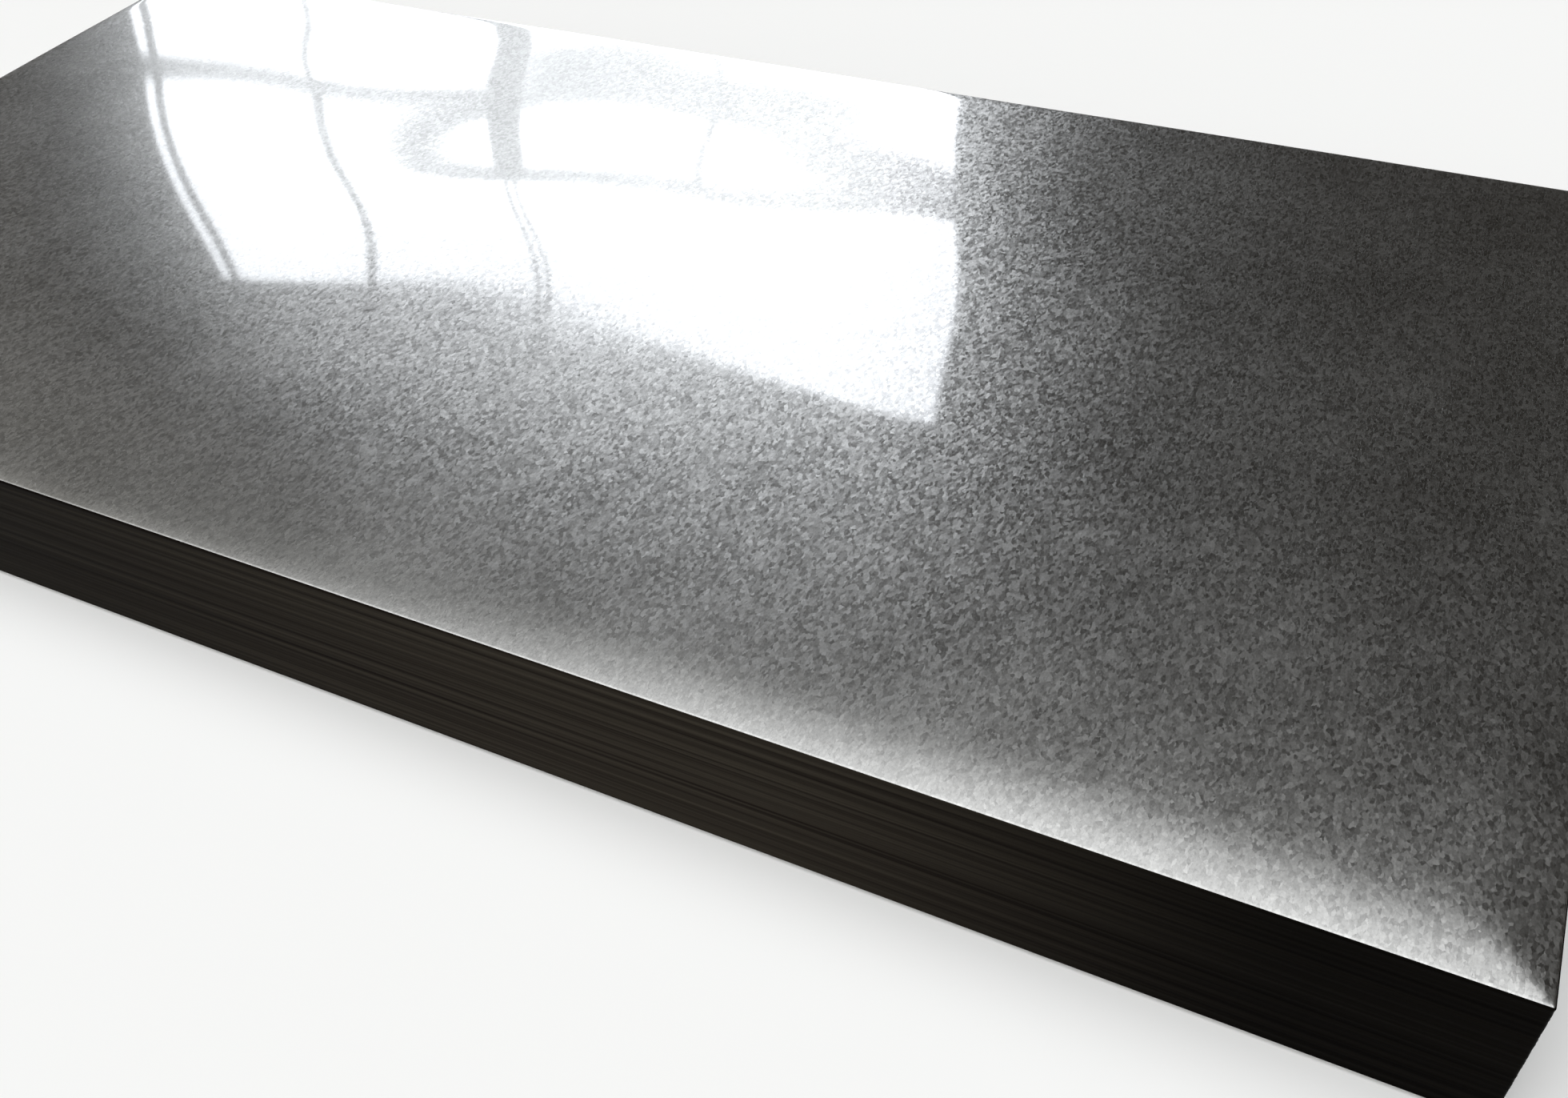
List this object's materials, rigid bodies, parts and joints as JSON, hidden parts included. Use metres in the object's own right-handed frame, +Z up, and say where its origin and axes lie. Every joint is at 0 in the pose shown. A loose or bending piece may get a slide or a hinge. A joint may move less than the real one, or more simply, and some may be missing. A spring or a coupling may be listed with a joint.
{
  "type": "steel plate",
  "caption": "Thick rectangular steel plate with bright spangled zinc faces, dark sides with fine lines along them and softly rolled-off edges; flat stock for cutting or welding.",
  "frame": {"origin": "centre of the underside, on the floor the plate lies on", "axes": "+X along the length, towards the end at the right of the picture; +Y along the width, away from the camera; +Z up through the thickness"},
  "size_m": [2, 1, 0.16],
  "materials": {
    "zinc_steel": "hot-dip zinc with a fine spangle, glossy on both faces; dark oiled sides with fine lines along them"
  },
  "bodies": {
    "root": {"steel_plate": "zinc_steel"}
  },
  "joints": []
}
